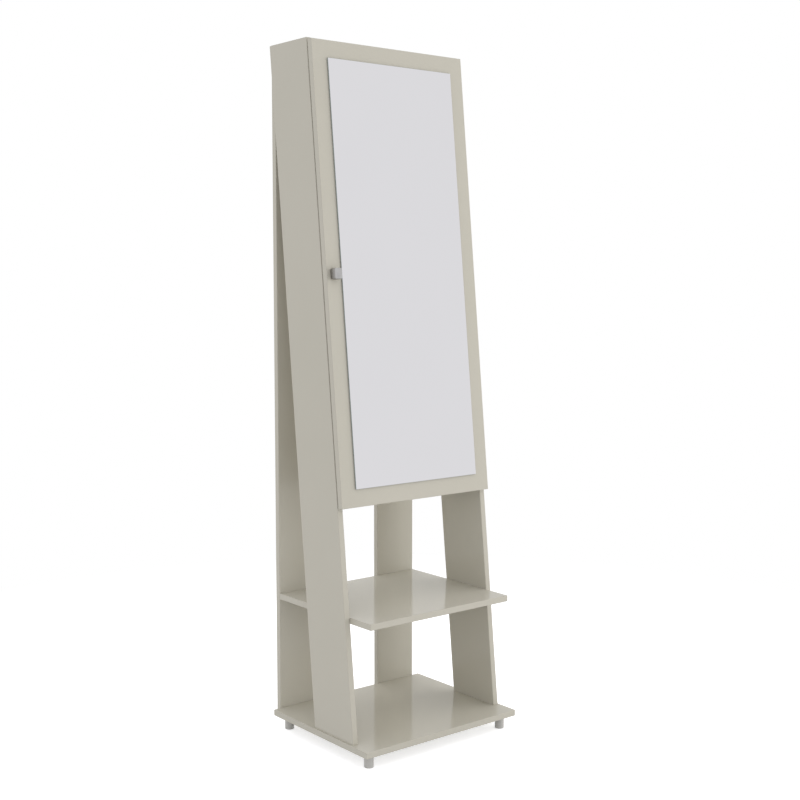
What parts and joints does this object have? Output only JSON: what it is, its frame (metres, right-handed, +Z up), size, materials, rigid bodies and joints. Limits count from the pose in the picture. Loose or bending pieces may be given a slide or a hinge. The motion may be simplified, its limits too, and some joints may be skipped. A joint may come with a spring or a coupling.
{
  "type": "floor mirror with shelves",
  "caption": "Free-standing leaning mirror cabinet with a swinging full-length mirror door, open shelf and base, two rear posts and short round feet.",
  "frame": {"origin": "on the floor, in the middle of the object's outline", "axes": "+Z up, the front faces -Y, +X to the right when facing the front (the hinge side)"},
  "size_m": [0.47, 0.397, 1.677],
  "materials": {
    "lacquered_board": "off-white high-gloss lacquer on 15 mm board",
    "foot_plastic": "light grey moulded plastic",
    "hardboard": "painted in the tone of the lacquer on both faces, brown at the sawn edges",
    "beech": "plain turned wood",
    "mirror": "silvered float glass, ground edge",
    "foam_tape": "white foam",
    "catch_plastic": "white moulded plastic",
    "magnet": "dark sintered magnet",
    "knob_metal": "satin",
    "hinge_steel": "nickel plated, satin",
    "zinc_steel": "zinc plated"
  },
  "bodies": {
    "root": {"base_board": "lacquered_board", "front_left_foot": "foot_plastic", "front_right_foot": "foot_plastic", "rear_left_foot": "foot_plastic", "rear_right_foot": "foot_plastic", "foot_screws": "zinc_steel", "left_side_panel": "lacquered_board", "right_side_panel": "lacquered_board", "left_rear_post": "lacquered_board", "right_rear_post": "lacquered_board", "middle_shelf": "lacquered_board", "cabinet_top": "lacquered_board", "cabinet_floor": "lacquered_board", "cabinet_back": "hardboard", "inner_shelf_1": "lacquered_board", "inner_shelf_2": "lacquered_board", "inner_shelf_3": "lacquered_board", "inner_shelf_4": "lacquered_board", "shelf_pins": "zinc_steel", "wood_dowels": "beech", "cam_bolts": "zinc_steel", "cam_locks": "zinc_steel", "panel_screws": "zinc_steel", "post_screws": "zinc_steel", "hinge_frame_leaf": "hinge_steel", "hinge_pin": "hinge_steel", "hinge_frame_screws": "zinc_steel", "catch_case": "catch_plastic", "catch_magnet": "magnet", "catch_screws": "zinc_steel"},
    "door": {"door_panel": "lacquered_board", "mirror_tape": "foam_tape", "mirror_glass": "mirror", "door_knob": "knob_metal", "knob_screw": "zinc_steel", "hinge_door_leaf": "hinge_steel", "hinge_door_screws": "zinc_steel", "catch_strike": "zinc_steel", "strike_screw": "zinc_steel", "door_bumpers": "foam_tape"}
  },
  "joints": [
    {"name": "door_hinge", "type": "hinge", "parent": "root", "child": "door", "pos_m": [0.2321, -0.02748, 1.1326], "axis": [0, 0.1045, 0.9945], "range_deg": [0, 180]}
  ]
}
